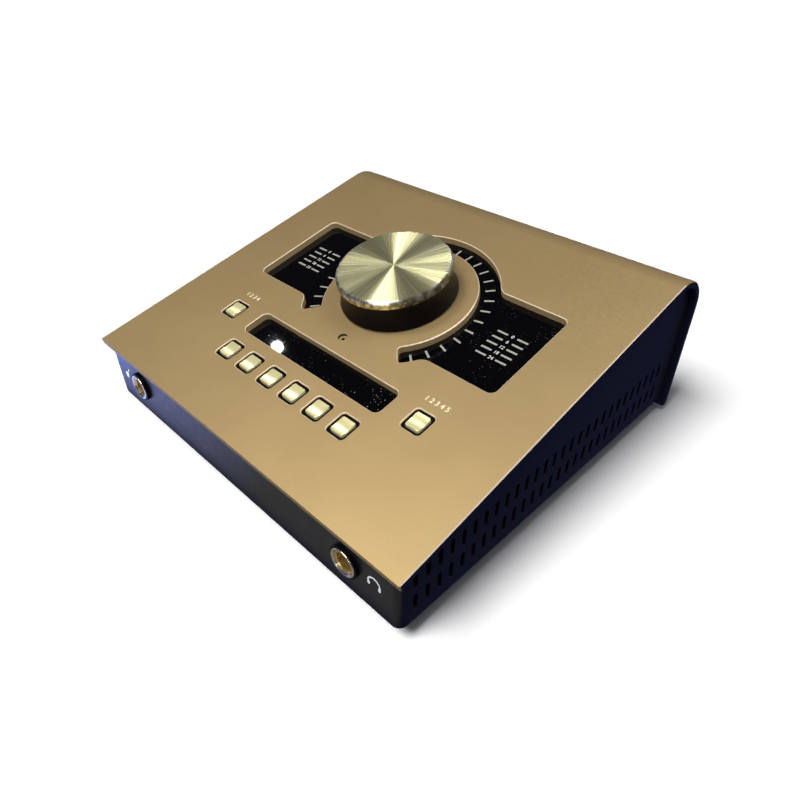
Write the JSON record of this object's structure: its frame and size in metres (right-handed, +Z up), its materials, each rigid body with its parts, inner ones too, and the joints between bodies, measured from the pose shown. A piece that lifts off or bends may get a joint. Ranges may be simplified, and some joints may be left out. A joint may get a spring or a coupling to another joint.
{
  "type": "headphone amplifier",
  "caption": "Desktop headphone amplifier with a sloping metal top, a large rotary level knob, meter and display windows, push buttons and jack sockets.",
  "frame": {"origin": "bottom centre of the bounding box, on the surface it stands on", "axes": "+X to the user's right, +Y to the back, +Z up; the user faces the low edge at -Y"},
  "size_m": [0.1604, 0.151, 0.0656],
  "materials": {
    "anodised_shell": "bead-blasted champagne anodised",
    "black_case": "fine-texture satin powder coat",
    "feet_rubber": "matte",
    "black_screws": "black oxide",
    "smoked_lens": "high gloss",
    "diffuser": "frosted",
    "display_black": "gloss",
    "lamp": "clear",
    "button_cap": "satin metallic",
    "black_plastic": "satin",
    "bright_ring": "bright nickel",
    "nickel_nut": "turned nickel",
    "contact_brass": "polished",
    "knob_face": "spun and anodised",
    "circuit_board": "solder mask",
    "component": "satin",
    "tab_metal": "satin",
    "shutter_plastic": "satin",
    "rocker_plastic": "gloss"
  },
  "bodies": {
    "case": {"base_plate": "black_case", "base_screws": "black_screws", "board_components": "component", "board_pillars": "bright_ring", "board_screws": "bright_ring", "board_spacers": "bright_ring", "button_frames": "black_plastic", "chassis": "black_case", "combo_socket_1": "black_plastic", "combo_socket_2": "black_plastic", "control_board": "circuit_board", "data_port": "bright_ring", "display_lens": "smoked_lens", "display_module": "display_black", "encoder_body": "black_plastic", "encoder_nut": "bright_ring", "headphone_socket_body": "black_plastic", "headphone_socket_collar": "black_plastic", "headphone_socket_ring": "bright_ring", "headphone_socket_sleeve": "contact_brass", "inlet_pin": "contact_brass", "instrument_socket_body": "black_plastic", "instrument_socket_collar": "black_plastic", "instrument_socket_ring": "bright_ring", "instrument_socket_sleeve": "contact_brass", "light_guide": "diffuser", "main_board": "circuit_board", "meter_lamps": "lamp", "meter_lens": "smoked_lens", "optical_port": "black_plastic", "output_jack_1": "black_plastic", "output_jack_2": "black_plastic", "output_jack_3": "black_plastic", "output_jack_4": "black_plastic", "output_nuts": "nickel_nut", "power_inlet": "black_plastic", "rear_panel": "black_case", "rear_screws": "black_screws", "rubber_feet": "feet_rubber", "switch_housing": "black_plastic", "tact_switches": "black_plastic", "talkback_mic": "black_plastic", "top_shell": "anodised_shell"},
    "knob": {"knob_cap": "knob_face", "knob_skirt": "black_plastic", "encoder_shaft": "bright_ring"},
    "knob_plunger": {"encoder_plunger": "black_plastic"},
    "latch_1": {"latch_tab_1": "tab_metal"},
    "latch_2": {"latch_tab_2": "tab_metal"},
    "shutter": {"optical_shutter": "shutter_plastic"},
    "rocker": {"power_rocker": "rocker_plastic"},
    "row_button_1": {"row_button_1": "button_cap"},
    "row_button_2": {"row_button_2": "button_cap"},
    "row_button_3": {"row_button_3": "button_cap"},
    "row_button_4": {"row_button_4": "button_cap"},
    "row_button_5": {"row_button_5": "button_cap"},
    "row_button_6": {"row_button_6": "button_cap"},
    "left_button": {"left_button": "button_cap"},
    "right_button": {"right_button": "button_cap"}
  },
  "joints": [
    {"name": "knob_push", "type": "slide", "parent": "case", "child": "knob_plunger", "axis": [0, 0.225, -0.9744], "range_m": [0, 0.0005], "stiffness_N_per_m": 6000},
    {"name": "knob_turn", "type": "hinge", "parent": "knob_plunger", "child": "knob", "pos_m": [0, 0.00518, 0.04893], "axis": [0, -0.225, 0.9744], "continuous": true},
    {"name": "row_button_1_press", "type": "slide", "parent": "case", "child": "row_button_1", "axis": [0, 0.225, -0.9744], "range_m": [0, 0.0008], "stiffness_N_per_m": 900},
    {"name": "row_button_2_press", "type": "slide", "parent": "case", "child": "row_button_2", "axis": [0, 0.225, -0.9744], "range_m": [0, 0.0008], "stiffness_N_per_m": 900},
    {"name": "row_button_3_press", "type": "slide", "parent": "case", "child": "row_button_3", "axis": [0, 0.225, -0.9744], "range_m": [0, 0.0008], "stiffness_N_per_m": 900},
    {"name": "row_button_4_press", "type": "slide", "parent": "case", "child": "row_button_4", "axis": [0, 0.225, -0.9744], "range_m": [0, 0.0008], "stiffness_N_per_m": 900},
    {"name": "row_button_5_press", "type": "slide", "parent": "case", "child": "row_button_5", "axis": [0, 0.225, -0.9744], "range_m": [0, 0.0008], "stiffness_N_per_m": 900},
    {"name": "row_button_6_press", "type": "slide", "parent": "case", "child": "row_button_6", "axis": [0, 0.225, -0.9744], "range_m": [0, 0.0008], "stiffness_N_per_m": 900},
    {"name": "left_button_press", "type": "slide", "parent": "case", "child": "left_button", "axis": [0, 0.225, -0.9744], "range_m": [0, 0.0008], "stiffness_N_per_m": 900},
    {"name": "right_button_press", "type": "slide", "parent": "case", "child": "right_button", "axis": [0, 0.225, -0.9744], "range_m": [0, 0.0008], "stiffness_N_per_m": 900},
    {"name": "latch_1_press", "type": "slide", "parent": "case", "child": "latch_1", "axis": [0, 0, -1], "range_m": [0, 0.0012], "stiffness_N_per_m": 1500},
    {"name": "latch_2_press", "type": "slide", "parent": "case", "child": "latch_2", "axis": [0, 0, -1], "range_m": [0, 0.0012], "stiffness_N_per_m": 1500},
    {"name": "shutter_swing", "type": "hinge", "parent": "case", "child": "shutter", "pos_m": [0.034, 0.07185, 0.03604], "axis": [-1, 0, 0], "range_deg": [0, 80], "stiffness_Nm_per_rad": 0.0004, "springref_deg": -17.19},
    {"name": "rocker_switch", "type": "hinge", "parent": "case", "child": "rocker", "pos_m": [0.0575, 0.0698, 0.033], "axis": [0, 0, -1], "range_deg": [0, 12]}
  ]
}
